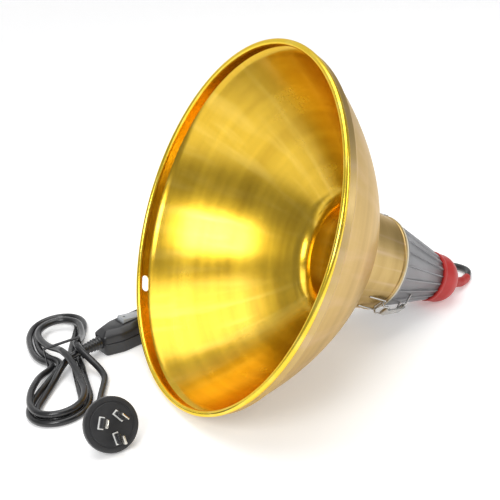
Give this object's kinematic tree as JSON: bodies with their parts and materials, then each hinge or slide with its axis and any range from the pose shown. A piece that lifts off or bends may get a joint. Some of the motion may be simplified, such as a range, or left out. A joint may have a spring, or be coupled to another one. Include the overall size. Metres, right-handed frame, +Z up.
{
  "type": "heat lamp fixture",
  "caption": "Heat lamp fixture for poultry: gold spun shade with a rolled rim, ribbed grey neck casting, red end cap, wire toggle latch, and a tied black cord with in-line switch and plug.",
  "frame": {"origin": "centre of the lamp's bounding box at floor level, without the cord and what is on it", "axes": "+X along the lamp's fall from the shade's mouth towards the end cap, +Y towards the side that the cord bundle lies on, +Z up"},
  "size_m": [0.3947, 0.3245, 0.2439],
  "materials": {
    "gold_anodised": "satin spun",
    "cream_trim": "satin",
    "grey_casting": "satin cast",
    "red_plastic": "gloss",
    "red_rubber": "satin",
    "black_cord": "gloss",
    "black_plastic": "gloss",
    "grey_rocker": "translucent gloss",
    "steel_wire": "bright",
    "zinc_steel": "zinc plated",
    "white_ceramic": "glazed",
    "plated_brass": "plated",
    "dark_sleeve": "matte",
    "core_brown": "matte",
    "core_blue": "matte",
    "core_earth": "matte"
  },
  "bodies": {
    "lamp": {"active_pin": "plated_brass", "clamp_bar": "black_plastic", "clamp_base": "black_plastic", "clamp_screws": "zinc_steel", "cord_boot": "red_rubber", "cord_hank": "black_cord", "cord_tie": "black_plastic", "earth_core": "core_earth", "earth_lug": "zinc_steel", "earth_pin": "plated_brass", "end_cap": "red_plastic", "holder_plate": "zinc_steel", "inner_lead": "black_cord", "lamp_cord": "black_cord", "lampholder": "white_ceramic", "line_core": "core_brown", "neck_catch": "steel_wire", "neck_ring": "cream_trim", "neutral_core": "core_blue", "neutral_pin": "plated_brass", "pin_sleeves": "dark_sleeve", "pivot_loop": "steel_wire", "plate_screws": "zinc_steel", "plug_boot": "black_cord", "plug_cord": "black_cord", "plug_face": "black_plastic", "plug_shell": "black_plastic", "rear_hook": "steel_wire", "screw_shell": "plated_brass", "shade": "gold_anodised", "socket_housing": "grey_casting", "switch_base": "black_plastic", "switch_boot_lamp": "black_cord", "switch_boot_plug": "black_cord", "switch_contacts": "plated_brass", "switch_cover": "black_plastic", "switch_screws": "zinc_steel", "terminal_screws": "zinc_steel", "terminals": "plated_brass"},
    "toggle_lever": {"toggle_lever": "steel_wire"},
    "toggle_bail": {"toggle_bail": "steel_wire"},
    "switch_rocker": {"switch_rocker": "grey_rocker"},
    "centre_contact": {"centre_contact": "plated_brass"}
  },
  "joints": [
    {"name": "toggle_lever_hinge", "type": "hinge", "parent": "lamp", "child": "toggle_lever", "pos_m": [0.04919, -0.02957, 0.02248], "axis": [0.3891, -0.6428, 0.6599], "range_deg": [0, 100]},
    {"name": "toggle_bail_hinge", "type": "hinge", "parent": "toggle_lever", "child": "toggle_bail", "pos_m": [0.03272, -0.03386, 0.02802], "axis": [0.3891, -0.6428, 0.6599], "range_deg": [0, 60]},
    {"name": "rocker_hinge", "type": "hinge", "parent": "lamp", "child": "switch_rocker", "pos_m": [-0.1313, 0.103, 0.0195], "axis": [0.1736, -0.9848, 0], "range_deg": [0, 16]},
    {"name": "contact_slide", "type": "slide", "parent": "lamp", "child": "centre_contact", "axis": [0.8614, 0, -0.508], "range_m": [0, 0.0015], "stiffness_N_per_m": 200, "springref_m": -0.0005}
  ]
}
